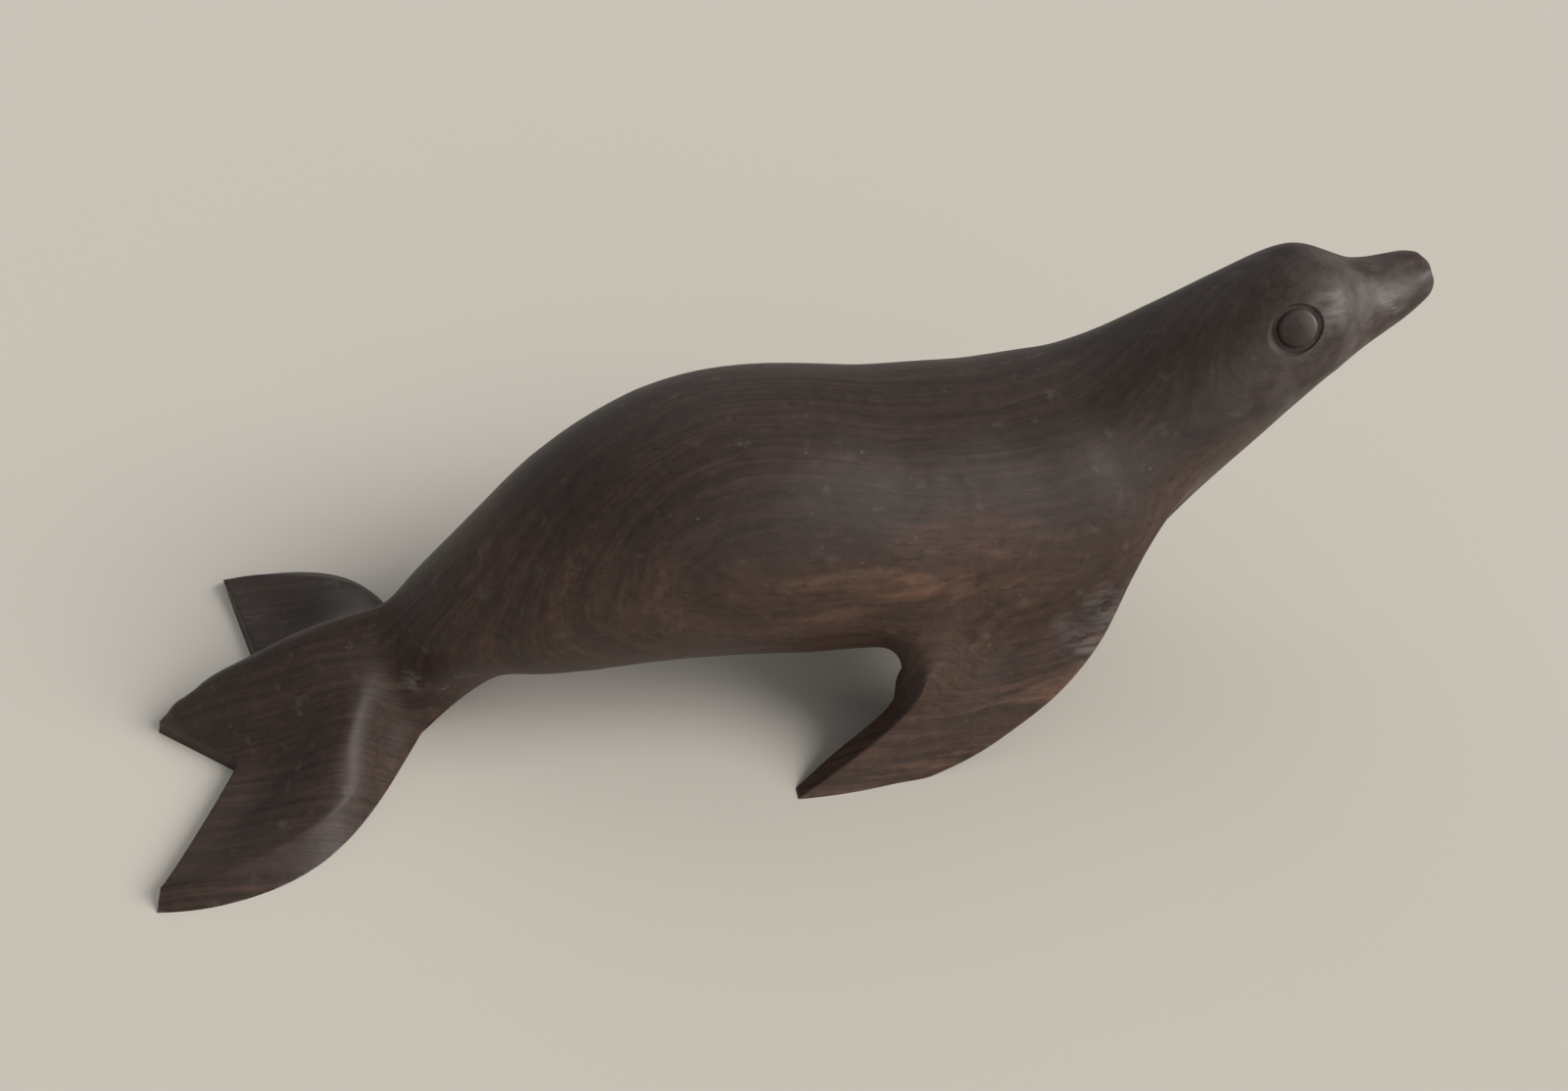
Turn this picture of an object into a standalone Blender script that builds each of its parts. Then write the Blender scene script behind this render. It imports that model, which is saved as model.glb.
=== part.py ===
"""A seal carved from one piece of dark hardwood.

The carving is one closed skin. Its points lie on the real surface: rings run from the tail to the nose, the
tail spreads into two hind flippers with a middle tip, and the front flippers grow out of the rings at the
shoulders. A subdivision surface rounds the skin, and a ring is cut round each eye.

Metres, +Z up. +X runs to the nose, and the origin is on the ground, in the middle of the figurine's box.
"""

import math

import bmesh
import bpy
from mathutils import Matrix, Vector
from mathutils.bvhtree import BVHTree

# Sizes are in millimetres up to the last step. Lengths run forwards from the middle tip of the tail, heights
# run up from the ground, and widths run out from the middle of the body. The left side mirrors the right.
MM = 0.001

# Rings of the body: the length from the ring before, the height of its middle, its half height and its half
# width. The first length is measured from the middle tip of the tail.
TAIL_STALK = (60.0, 18.6, 12.3, 12.6)
RUMP = (11.0, 24.2, 16.2, 16.5)
HIPS = (16.0, 31.8, 21.6, 21.8)
LOIN = (20.0, 37.3, 25.8, 25.8)
MIDDLE = (19.0, 36.2, 26.6, 26.8)
FLIPPER_BACK = (12.8, 34.4, 26.3, 26.9)
CHEST = (15.2, 34.6, 25.6, 26.3)
SHOULDER = (13.0, 37.0, 23.6, 25.0)
FLIPPER_FRONT = (12.0, 42.0, 20.8, 22.2)
NECK = (12.0, 49.8, 17.5, 17.8)
HEAD = (20.5, 65.0, 13.4, 13.2)
BROW = (7.0, 67.8, 12.0, 11.7)
MUZZLE = (7.5, 68.4, 8.1, 8.2)
SNOUT = (7.6, 71.4, 5.5, 6.0)
NOSE = (3.5, 73.0, 3.7, 4.5)
NOSE_REACH = 0.4
NOSE_RISE = -0.6
BODY = (TAIL_STALK, RUMP, HIPS, LOIN, MIDDLE, FLIPPER_BACK, CHEST, SHOULDER)
BODY += (FLIPPER_FRONT, NECK, HEAD, BROW, MUZZLE, SNOUT, NOSE)

# The tail stands on its flat underside. Its front end, under the stalk, is round.
STANCE_LENGTH = 51.6
STALK_FOOT_LENGTH = 49.4
STALK_FOOT_HALF_WIDTH = 10.4
STALK_RIDGE_LENGTH = 45.0
STALK_RIDGE_HEIGHT = 24.4
STALK_EDGE_LENGTH = 47.8
STALK_EDGE_HEIGHT = 7.2
STALK_HALF_WIDTH = 10.4
STALK_FULLNESS = 0.6

# The ridge along the tail falls to the middle tip.
MIDDLE_TIP_HEIGHT = 2.8
RIDGE_LINE = ((10.0, 10.0), (20.5, 15.6), (32.0, 20.6))

# Hind flippers: the length, half width and height of the upper rim, from the tip to near the stalk, and the
# length and half width of the lower rim, which stands on the ground a little further out.
HIND_TIP = (7.8, 37.0, 3.2)
HIND_RIM = ((17.0, 36.4, 3.7), (29.5, 32.2, 4.6), (40.4, 23.6, 5.0))
HIND_FOOT = ((6.6, 39.8), (17.0, 40.5), (31.0, 36.8), (42.0, 25.0))
NOTCH = (17.6, 12.8, 3.6)
TRAILING_MIDDLE = (12.2, 27.2, 3.4)
TRAILING_SPREAD = 1.2
UNDERSIDE_SPREAD = 0.2
HOLLOW_DEPTH = 4.0

# Front flippers: the outer face's points from the body down to the ground, along the trailing edge and along
# the leading edge, then along the ground between them.
FRONT_TRAILING = ((142.6, 30.6, 22.0), (139.2, 33.2, 14.1), (129.8, 35.7, 6.7))
FRONT_LEADING = ((181.8, 24.8, 32.0), (173.4, 30.8, 17.4), (156.9, 35.9, 5.0))
FRONT_TIP = (117.6, 38.6, 0.0)
FRONT_GROUND = ((124.0, 39.0, 0.0), (131.0, 39.0, 0.0), (137.5, 38.7, 0.0))
FRONT_HEEL = (144.0, 38.1, 0.0)
FRONT_THICKNESS = (7.2, 6.0, 4.6)
FRONT_FOOT_THICKNESS = 2.6
FRONT_LEAN = 19.0

# The inner line of the trailing edge, down to just above the ground.
FRONT_ARMPIT = ((140.7, 24.7, 16.8), (137.0, 28.7, 11.9), (127.9, 31.8, 5.4))

# How far the shoulder swells out over the front flipper, at each ring from the flipper's back to the neck, and
# how far the side above it swells out.
SHOULDER_FLARE = (1.4, 2.2, 2.4, 2.2, 0.4)
SHOULDER_SWELL = 0.5

# Each eye is a round groove cut into the side of the head, with a disc left standing inside it. The raise is
# the angle above the widest line of the head, in degrees. The flare is how far the groove's outer wall leans
# out on its way up to the surface, and the disc lies a little below the surface.
EYE_RAISE = 34.0
EYE_FORWARDS = 1.4
EYE_DIAMETER = 9.6
EYE_FLARE = 0.9
EYE_DISC_DIAMETER = 6.2
EYE_DISC_DEPTH = 0.5
EYE_GROOVE_DEPTH = 1.4
EYE_CUTTER_HEIGHT = 4.0
EYE_SIDES = 28

WOOD_COLOUR = (0.050, 0.031, 0.022, 1.0)
WOOD_ROUGHNESS = 0.42

# How sharp the carved edges stay when the skin is rounded: 1 is a knife edge and 0 is fully round.
CRISP = 1.0
TRAILING_CRISP = 0.8
RIM_CRISP = 0.75
RIM_END_CRISP = 0.2
ARMPIT_CRISP = 0.6

# Points round half of a ring, from the middle of the back to the middle of the belly. On the tail, two of them
# are the upper and the lower rim. On the body, the front flipper leaves just below the rim's place.
HALF_RING = 7
RIM = 3
FOOT = 4
SIDES = (-1, 1)
SUBDIVISIONS = 2
FITTING_PASSES = 14
FLAT_ANGLE = 0.05


def clear_scene():
    for thing in list(bpy.data.objects):
        bpy.data.objects.remove(thing, do_unlink=True)


def half_ring(centre, forwards, half_height, half_width):
    """Points of a ring square to the body's line, from the back down to the belly, on the -Y side."""
    upwards = Vector((-forwards.z, 0, forwards.x))
    points = []
    for step in range(HALF_RING + 1):
        angle = math.pi * step / HALF_RING
        rise = upwards * half_height * math.cos(angle)
        points.append(centre + rise - Vector((0, half_width * math.sin(angle), 0)))
    return points


def body_rings():
    """Half rings along the body, and the point at the end of the nose."""
    centres = []
    length = 0
    for step, height, _, _ in BODY:
        length += step
        centres.append(Vector((length, 0, height)))
    nose_end = centres[-1] + Vector((NOSE_REACH, 0, NOSE_RISE))
    line = [Vector((STALK_FOOT_LENGTH, 0, STALK_EDGE_HEIGHT))] + centres + [nose_end]
    rings = []
    for place, (_, _, half_height, half_width) in enumerate(BODY):
        forwards = (line[place + 2] - line[place]).normalized()
        rings.append(half_ring(centres[place], forwards, half_height, half_width))
    first = BODY.index(FLIPPER_BACK)
    for place, flare in enumerate(SHOULDER_FLARE):
        rings[first + place][RIM + 1].y -= flare
        rings[first + place][RIM].y -= SHOULDER_SWELL
    return rings, nose_end


def between(a, b, share):
    return a + (b - a) * share


def right_side(length, half_width, height):
    return Vector((length, -half_width, height))


def stalk_ring():
    """The half ring where the body comes down onto the flat underside of the tail."""
    ridge = Vector((STALK_RIDGE_LENGTH, 0, STALK_RIDGE_HEIGHT))
    edge = right_side(STALK_EDGE_LENGTH, STALK_HALF_WIDTH, STALK_EDGE_HEIGHT)
    foot = right_side(STALK_FOOT_LENGTH, STALK_FOOT_HALF_WIDTH, 0)
    front = Vector((STANCE_LENGTH, 0, 0))
    points = [ridge]
    for step in (1, 2):
        share = step / RIM
        angle = math.pi / 2 * share
        length = between(ridge.x, edge.x, share)
        outwards = between(share, math.sin(angle), STALK_FULLNESS)
        upwards = between(1 - share, math.cos(angle), STALK_FULLNESS)
        points.append(Vector((length, edge.y * outwards, between(edge.z, ridge.z, upwards))))
    points += [edge, foot]
    for step in (1, 2):
        angle = math.pi / 2 * step / 3
        length = between(foot.x, front.x, math.sin(angle))
        points.append(Vector((length, foot.y * math.cos(angle), 0)))
    points.append(front)
    return points


def patch_point(near, far, first, last, across, along):
    """A point of a patch stretched between four edges.

    near and far lie on its lengthwise edges at this place. first and last are its two end edges, each given as
    its start, its end and its point at this place.
    """
    flat = between(between(first[0], first[1], across), between(last[0], last[1], across), along)
    return between(near, far, across) + between(first[2], last[2], along) - flat


def tail_rings(stalk):
    """Half rings of the tail, from the trailing edge to the stalk: a patch with a hollow pressed into it."""
    trailing = [Vector((TRAILING_SPREAD, 0, MIDDLE_TIP_HEIGHT)), right_side(*NOTCH)]
    trailing += [right_side(*TRAILING_MIDDLE), right_side(*HIND_TIP)]
    ridge = [trailing[0]] + [Vector((length, 0, height)) for length, height in RIDGE_LINE]
    rim = [trailing[RIM]] + [right_side(*point) for point in HIND_RIM]
    rows = []
    last = len(ridge)
    for row in range(last):
        along = row / last
        upper = []
        for column in range(RIM + 1):
            across = column / RIM
            first_edge = (trailing[0], trailing[RIM], trailing[column])
            last_edge = (stalk[0], stalk[RIM], stalk[column])
            point = patch_point(ridge[row], rim[row], first_edge, last_edge, across, along)
            point.z -= HOLLOW_DEPTH * hollow(along, across)
            upper.append(point)
        lower = []
        for column in range(FOOT, HALF_RING + 1):
            above = upper[HALF_RING - column]
            lower.append(Vector((above.x, above.y, 0)))
        if row == 0:
            for point in lower:
                point.x -= TRAILING_SPREAD
        foot_length, foot_half_width = HIND_FOOT[row]
        lower[0] = right_side(foot_length, foot_half_width, 0)
        lower[1] = between(lower[1], lower[0], UNDERSIDE_SPREAD)
        rows.append(upper + lower)
    return rows


def hollow(along, across):
    """How hollow the tail's top is: 0 on its edges and 1 in the deepest place, a third of the way along."""
    lengthwise = along * (1 - along) ** 2 * 27 / 4
    crosswise = across * (1 - across) * 4
    return lengthwise * crosswise


class Skin:
    """Points and faces of the skin, with the edges that stay crisp."""

    def __init__(self):
        self.points = []
        self.faces = []
        self.crisp = {}

    def add(self, point):
        self.points.append(point.copy())
        return len(self.points) - 1

    def face(self, *corners):
        self.faces.append(corners)

    def crease(self, corners, sharpness):
        for a, b in zip(corners, corners[1:]):
            self.crisp[frozenset((a, b))] = sharpness


def mirrored(point, side):
    return Vector((point.x, -side * point.y, point.z))


def lay_rings(skin, rings):
    """Adds every ring's points for both sides. The middle of the back and of the belly are shared."""
    laid = {}
    for place, ring in enumerate(rings):
        for step, point in enumerate(ring):
            for side in SIDES:
                if step in (0, HALF_RING) and side == 1:
                    laid[place, step, side] = laid[place, step, -1]
                else:
                    laid[place, step, side] = skin.add(mirrored(point, -side))
    return laid


def quad(skin, side, a, b, c, d):
    """One face, with its corners turned round on the left side so that it still faces out."""
    if side == -1:
        skin.face(a, b, c, d)
    else:
        skin.face(d, c, b, a)


def join_rings(skin, laid, count, first, last):
    """Faces between neighbouring rings, open where the front flippers leave the body."""
    for place in range(count - 1):
        for step in range(HALF_RING):
            if first <= place < last and step == RIM + 1:
                continue
            for side in SIDES:
                corners = [laid[place, step, side], laid[place + 1, step, side]]
                corners += [laid[place + 1, step + 1, side], laid[place, step + 1, side]]
                quad(skin, side, *corners)


def close_tail(skin, laid):
    """The trailing edge, from the middle tip to the tip of each hind flipper."""
    for side in SIDES:
        for step in range(RIM):
            under = HALF_RING - step
            corners = [laid[0, step, side], laid[0, step + 1, side]]
            corners += [laid[0, under - 1, side], laid[0, under, side]]
            quad(skin, side, *corners)


def close_nose(skin, laid, place, nose_end):
    tip = skin.add(nose_end)
    for side in SIDES:
        for step in range(0, HALF_RING - 1, 2):
            corners = [laid[place, step, side], tip]
            corners += [laid[place, step + 2, side], laid[place, step + 1, side]]
            quad(skin, side, *corners)
    under = HALF_RING - 1
    skin.face(laid[place, under, -1], tip, laid[place, under, 1], laid[place, HALF_RING, 1])


def blade_points(root):
    """Rows of the front flipper's outer and inner face, on the -Y side, from below the root to the ground."""
    ground = [right_side(*point) for point in (FRONT_TIP, *FRONT_GROUND, FRONT_HEEL)]
    trailing = [right_side(*point) for point in FRONT_TRAILING] + [ground[0]]
    leading = [right_side(*point) for point in FRONT_LEADING] + [ground[-1]]
    lean = math.radians(FRONT_LEAN)
    square_in = Vector((0, math.cos(lean), -math.sin(lean)))
    first = len(ground) - 1
    outer = []
    inner = []
    for row, (back, front) in enumerate(zip(trailing, leading)):
        down = (row + 1) / len(trailing)
        outer_row = []
        inner_row = []
        for column, (above, below) in enumerate(zip(root, ground)):
            across = column / first
            root_edge = (root[0], root[-1], above)
            ground_edge = (ground[0], ground[-1], below)
            point = patch_point(back, front, root_edge, ground_edge, across, down)
            outer_row.append(point)
            if row == len(FRONT_THICKNESS):
                inner_row.append(point + Vector((0, FRONT_FOOT_THICKNESS, 0)))
            elif column == 0:
                inner_row.append(right_side(*FRONT_ARMPIT[row]))
            else:
                inner_row.append(point + square_in * FRONT_THICKNESS[row])
        outer.append(outer_row)
        inner.append(inner_row)
    return outer, inner


def front_flipper(skin, laid, side, first, last):
    """The blade: an outer and an inner face, a leading and a trailing edge, and a foot on the ground."""
    outer = [[laid[place, RIM + 1, side] for place in range(first, last + 1)]]
    inner = [[laid[place, RIM + 2, side] for place in range(first, last + 1)]]
    root = [skin.points[laid[place, RIM + 1, -1]] for place in range(first, last + 1)]
    outer_points, inner_points = blade_points(root)
    for outer_row, inner_row in zip(outer_points, inner_points):
        outer.append([skin.add(mirrored(point, -side)) for point in outer_row])
        inner.append([skin.add(mirrored(point, -side)) for point in inner_row])
    for row in range(len(outer) - 1):
        for column in range(last - first):
            a, b = outer[row][column], outer[row][column + 1]
            c, d = outer[row + 1][column + 1], outer[row + 1][column]
            quad(skin, side, a, b, c, d)
            a, b = inner[row][column], inner[row][column + 1]
            c, d = inner[row + 1][column + 1], inner[row + 1][column]
            quad(skin, side, d, c, b, a)
        quad(skin, side, outer[row][0], outer[row + 1][0], inner[row + 1][0], inner[row][0])
        quad(skin, side, outer[row][-1], inner[row][-1], inner[row + 1][-1], outer[row + 1][-1])
    outer_foot = outer[-1]
    inner_foot = inner[-1]
    for column in range(last - first):
        a, b = outer_foot[column], outer_foot[column + 1]
        c, d = inner_foot[column + 1], inner_foot[column]
        quad(skin, side, a, b, c, d)
    for face in (outer, inner):
        skin.crease([row[0] for row in face[1:3]], ARMPIT_CRISP)
        skin.crease([row[0] for row in face[2:]], TRAILING_CRISP)
        skin.crease(face[-1], CRISP)
    skin.crease([outer_foot[0], inner_foot[0]], CRISP)
    skin.crease([outer_foot[-1], inner_foot[-1]], CRISP)


def crisp_tail(skin, laid, stalk):
    """Keeps the tail's rim, foot and trailing edge crisp, with corners at the three tips and two notches."""
    for side in SIDES:
        rim = [laid[place, RIM, side] for place in range(stalk)]
        foot = [laid[place, FOOT, side] for place in range(stalk + 1)]
        skin.crease(rim, RIM_CRISP)
        for step in (HALF_RING, HALF_RING - 1):
            skin.crease([laid[place, step, side] for place in range(stalk)], CRISP)
        skin.crease([rim[-1], laid[stalk, RIM, side]], RIM_END_CRISP)
        skin.crease(foot, CRISP)
        skin.crease([laid[stalk, step, side] for step in range(FOOT, HALF_RING + 1)], CRISP)
        skin.crease([laid[0, step, side] for step in range(RIM + 1)], TRAILING_CRISP)
        skin.crease([laid[0, step, side] for step in range(FOOT, HALF_RING + 1)], CRISP)
        for step in (0, 1, RIM):
            skin.crease([laid[0, step, side], laid[0, HALF_RING - step, side]], CRISP)


def limit_points(cage, skin):
    """Where a subdivision surface puts each point of the cage, by its usual weights. A corner stays put."""
    neighbours = [set() for _ in cage]
    opposite = [[] for _ in cage]
    for corners in skin.faces:
        for turn, corner in enumerate(corners):
            neighbours[corner].add(corners[turn - 1])
            neighbours[corner].add(corners[(turn + 1) % 4])
            opposite[corner].append(corners[(turn + 2) % 4])
    found = []
    for place, point in enumerate(cage):
        near = neighbours[place]
        crisp = [other for other in near if frozenset((place, other)) in skin.crisp]
        if len(crisp) > 2:
            found.append(point.copy())
        elif len(crisp) == 2:
            found.append((4 * point + cage[crisp[0]] + cage[crisp[1]]) / 6)
        else:
            count = len(near)
            total = count * count * point
            for other in near:
                total = total + 4 * cage[other]
            for other in opposite[place]:
                total = total + cage[other]
            found.append(total / (count * (count + 5)))
    return found


def fitted_cage(skin):
    """Moves the cage until the smooth surface passes through the skin's own points."""
    cage = [point.copy() for point in skin.points]
    for _ in range(FITTING_PASSES):
        reached = limit_points(cage, skin)
        for place, target in enumerate(skin.points):
            cage[place] += target - reached[place]
    return cage


def wood():
    material = bpy.data.materials.new("dark_hardwood")
    material.use_nodes = True
    shader = material.node_tree.nodes["Principled BSDF"]
    shader.inputs["Base Color"].default_value = WOOD_COLOUR
    shader.inputs["Roughness"].default_value = WOOD_ROUGHNESS
    shader.inputs["Metallic"].default_value = 0.0
    return material


def seal_skin():
    rings, nose_end = body_rings()
    stalk = stalk_ring()
    tail = tail_rings(stalk)
    every_ring = tail + [stalk] + rings
    flipper_back = every_ring.index(rings[BODY.index(FLIPPER_BACK)])
    flipper_front = every_ring.index(rings[BODY.index(NECK)])
    skin = Skin()
    laid = lay_rings(skin, every_ring)
    join_rings(skin, laid, len(every_ring), flipper_back, flipper_front)
    close_tail(skin, laid)
    close_nose(skin, laid, len(every_ring) - 1, nose_end)
    crisp_tail(skin, laid, len(tail))
    for side in SIDES:
        front_flipper(skin, laid, side, flipper_back, flipper_front)
    return skin


def eye_cutter(name):
    """A closed turned shape round the Z axis: it sinks the disc and cuts the groove round it."""
    mesh = bpy.data.meshes.new(name)
    shape = bmesh.new()
    disc_radius = EYE_DISC_DIAMETER / 2
    floor_radius = EYE_DIAMETER / 2 - EYE_FLARE
    top_radius = floor_radius + EYE_FLARE * (1 + EYE_CUTTER_HEIGHT / EYE_GROOVE_DEPTH)
    profile = ((disc_radius, -EYE_DISC_DEPTH), (disc_radius, -EYE_GROOVE_DEPTH))
    profile += ((floor_radius, -EYE_GROOVE_DEPTH), (top_radius, EYE_CUTTER_HEIGHT))
    loops = []
    for radius, level in profile:
        loop = []
        for turn in range(EYE_SIDES):
            angle = 2 * math.pi * turn / EYE_SIDES
            point = Vector((radius * math.cos(angle), radius * math.sin(angle), level))
            loop.append(shape.verts.new(point * MM))
        loops.append(loop)
    for lower, upper in zip(loops, loops[1:]):
        for turn in range(EYE_SIDES):
            after = (turn + 1) % EYE_SIDES
            shape.faces.new((lower[turn], lower[after], upper[after], upper[turn]))
    shape.faces.new(loops[0])
    shape.faces.new(loops[-1])
    bmesh.ops.recalc_face_normals(shape, faces=shape.faces)
    shape.to_mesh(mesh)
    shape.free()
    cutter = bpy.data.objects.new(name, mesh)
    cutter.hide_render = True
    cutter.display_type = "WIRE"
    bpy.context.scene.collection.objects.link(cutter)
    return cutter


def evaluated_tree(seal):
    bpy.context.view_layer.update()
    return BVHTree.FromObject(seal, bpy.context.evaluated_depsgraph_get())


def cut_eyes(seal, origin):
    """Cuts the groove of each eye where a line from the middle of the head, square to it, meets the skin."""
    rings, _ = body_rings()
    head = rings[BODY.index(HEAD)]
    centre = (head[0] + head[HALF_RING]) / 2
    upwards = (head[0] - centre).normalized()
    centre += Vector((upwards.z, 0, -upwards.x)) * EYE_FORWARDS
    raised = math.radians(EYE_RAISE)
    tree = evaluated_tree(seal)
    for side, name in ((-1, "right_eye_cutter"), (1, "left_eye_cutter")):
        facing = Vector((0, side, 0)) * math.cos(raised) + upwards * math.sin(raised)
        surface, _, _, _ = tree.ray_cast((centre - origin) * MM, facing)
        cutter = eye_cutter(name)
        turned = facing.to_track_quat("Z", "Y").to_matrix().to_4x4()
        cutter.matrix_world = Matrix.Translation(surface) @ turned
        cut = seal.modifiers.new(name, "BOOLEAN")
        cut.operation = "DIFFERENCE"
        cut.solver = "EXACT"
        cut.object = cutter


def middle_of_box(seal):
    bpy.context.view_layer.update()
    skin = seal.evaluated_get(bpy.context.evaluated_depsgraph_get()).data
    lengths = [vertex.co.x for vertex in skin.vertices]
    return Vector(((max(lengths) + min(lengths)) / 2, 0, 0))


def carving():
    skin = seal_skin()
    mesh = bpy.data.meshes.new("seal_carving")
    mesh.from_pydata([point * MM for point in fitted_cage(skin)], [], skin.faces)
    shaped = bmesh.new()
    shaped.from_mesh(mesh)
    crease = shaped.edges.layers.float.new("crease_edge")
    for edge in shaped.edges:
        ends = frozenset(vertex.index for vertex in edge.verts)
        edge[crease] = skin.crisp.get(ends, 0)
    bmesh.ops.recalc_face_normals(shaped, faces=shaped.faces)
    shaped.to_mesh(mesh)
    shaped.free()
    mesh.shade_smooth()
    mesh.materials.append(wood())
    seal = bpy.data.objects.new("seal_carving", mesh)
    bpy.context.scene.collection.objects.link(seal)
    rounding = seal.modifiers.new("rounding", "SUBSURF")
    rounding.levels = SUBDIVISIONS
    rounding.render_levels = SUBDIVISIONS
    middle = middle_of_box(seal)
    mesh.transform(Matrix.Translation(-middle))
    cut_eyes(seal, middle / MM)
    flat = seal.modifiers.new("flat underside", "DECIMATE")
    flat.decimate_type = "DISSOLVE"
    flat.angle_limit = math.radians(FLAT_ANGLE)
    return seal


clear_scene()
carving()
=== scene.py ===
"""The seal carving as it looks: the form of the CAD node, rounded more finely, in oiled dark wood.

The skin comes from the same sizes as the part's source, in millimetres from the middle tip of the tail. Its
front flippers bow out a little more, and its ridge is a little fuller near the tail's tip. It is worked over
by hand and cut at the eyes, and then it stands in for the CAD node.
"""

import math

import bmesh
import bpy
from mathutils import Matrix, Vector, noise
from mathutils.bvhtree import BVHTree


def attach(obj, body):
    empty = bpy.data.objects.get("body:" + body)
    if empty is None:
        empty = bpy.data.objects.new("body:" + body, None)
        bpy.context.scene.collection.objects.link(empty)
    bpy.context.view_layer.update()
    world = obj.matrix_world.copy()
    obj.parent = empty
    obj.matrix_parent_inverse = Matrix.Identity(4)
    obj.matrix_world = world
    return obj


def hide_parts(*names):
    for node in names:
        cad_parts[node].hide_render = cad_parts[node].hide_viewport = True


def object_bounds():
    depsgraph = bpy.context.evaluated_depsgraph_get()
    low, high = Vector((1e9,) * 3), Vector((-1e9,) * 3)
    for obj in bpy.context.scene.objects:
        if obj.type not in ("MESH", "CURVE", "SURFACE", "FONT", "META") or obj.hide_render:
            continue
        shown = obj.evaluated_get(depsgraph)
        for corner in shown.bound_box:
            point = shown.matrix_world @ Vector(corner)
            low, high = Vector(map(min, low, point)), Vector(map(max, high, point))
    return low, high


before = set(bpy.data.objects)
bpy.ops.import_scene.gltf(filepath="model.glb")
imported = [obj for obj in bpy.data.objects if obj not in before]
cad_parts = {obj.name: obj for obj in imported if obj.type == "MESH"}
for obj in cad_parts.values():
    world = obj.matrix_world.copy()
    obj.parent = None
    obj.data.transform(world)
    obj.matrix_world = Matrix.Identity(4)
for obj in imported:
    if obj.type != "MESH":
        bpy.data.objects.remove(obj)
cad_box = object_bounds()

# Sizes are in millimetres up to the last step. Lengths run forwards from the middle tip of the tail, heights
# run up from the ground, and widths run out from the middle of the body. The left side mirrors the right.
MM = 0.001

# Rings of the body: the length from the ring before, the height of its middle, its half height and its half
# width. The first length is measured from the middle tip of the tail. The end of the nose lies a little
# further forwards than the last ring and a little lower.
TAIL_STALK = (60.0, 18.6, 12.3, 12.6)
RUMP = (11.0, 24.2, 16.2, 16.5)
HIPS = (16.0, 31.8, 21.6, 21.8)
LOIN = (20.0, 37.3, 25.8, 25.8)
MIDDLE = (19.0, 36.2, 26.6, 26.8)
FLIPPER_BACK = (12.8, 34.4, 26.3, 26.9)
CHEST = (15.2, 34.6, 25.6, 26.3)
SHOULDER = (13.0, 37.0, 23.6, 25.0)
FLIPPER_FRONT = (12.0, 42.0, 20.8, 22.2)
NECK = (12.0, 49.8, 17.5, 17.8)
HEAD = (20.5, 65.0, 13.4, 13.2)
BROW = (7.0, 67.8, 12.0, 11.7)
MUZZLE = (7.5, 68.4, 8.1, 8.2)
SNOUT = (7.6, 71.4, 5.5, 6.0)
NOSE = (3.5, 73.0, 3.7, 4.5)
NOSE_REACH = 0.4
NOSE_RISE = -0.6
BODY = (TAIL_STALK, RUMP, HIPS, LOIN, MIDDLE, FLIPPER_BACK, CHEST, SHOULDER)
BODY += (FLIPPER_FRONT, NECK, HEAD, BROW, MUZZLE, SNOUT, NOSE)

# The tail stands on its flat underside. Its front end, under the stalk, is round. The fullness of the stalk's
# upper half is 0 for a flat slope and 1 for a round one.
STANCE_LENGTH = 51.6
STALK_FOOT_LENGTH = 49.4
STALK_FOOT_HALF_WIDTH = 10.4
STALK_RIDGE_LENGTH = 45.0
STALK_RIDGE_HEIGHT = 24.4
STALK_EDGE_LENGTH = 47.8
STALK_EDGE_HEIGHT = 7.2
STALK_HALF_WIDTH = 10.4
STALK_FULLNESS = 0.6

# The ridge along the tail falls to the middle tip.
MIDDLE_TIP_HEIGHT = 2.8
RIDGE_LINE = ((10.0, 10.0), (20.5, 15.6), (32.0, 20.6))

# Hind flippers: the length, half width and height of the upper rim, from the tip to near the stalk, and the
# length and half width of the lower rim, which stands on the ground a little further out.
HIND_TIP = (7.8, 37.0, 3.2)
HIND_RIM = ((17.0, 36.4, 3.7), (29.5, 32.2, 4.6), (40.4, 23.6, 5.0))
HIND_FOOT = ((6.6, 39.8), (17.0, 40.5), (31.0, 36.8), (42.0, 25.0))

# The trailing edge between the tips: its notch, a point half way along the hind flipper's part of it, and how
# far its lower line lies behind the upper one. The points beside the underside's edge are moved out by a
# share, and the top of the tail is a little hollow.
NOTCH = (17.6, 12.8, 3.6)
TRAILING_MIDDLE = (12.2, 27.2, 3.4)
TRAILING_SPREAD = 1.2
UNDERSIDE_SPREAD = 0.2
HOLLOW_DEPTH = 4.0

# Front flippers: the outer face's points from the body down to the ground, along the trailing edge and along
# the leading edge, then along the ground between them. The blade's thickness is given row by row downwards,
# and the lean is how far its faces are turned from upright, in degrees.
FRONT_TRAILING = ((142.6, 30.6, 22.0), (139.2, 33.2, 14.1), (129.8, 35.7, 6.7))
FRONT_LEADING = ((181.8, 24.8, 32.0), (173.4, 30.8, 17.4), (156.9, 35.9, 5.0))
FRONT_TIP = (117.6, 38.6, 0.0)
FRONT_GROUND = ((124.0, 39.0, 0.0), (131.0, 39.0, 0.0), (137.5, 38.7, 0.0))
FRONT_HEEL = (144.0, 38.1, 0.0)
FRONT_THICKNESS = (7.2, 6.0, 4.6)
FRONT_FOOT_THICKNESS = 2.6
FRONT_LEAN = 19.0

# The inner line of the trailing edge, down to just above the ground.
FRONT_ARMPIT = ((140.7, 24.7, 16.8), (137.0, 28.7, 11.9), (127.9, 31.8, 5.4))

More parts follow.
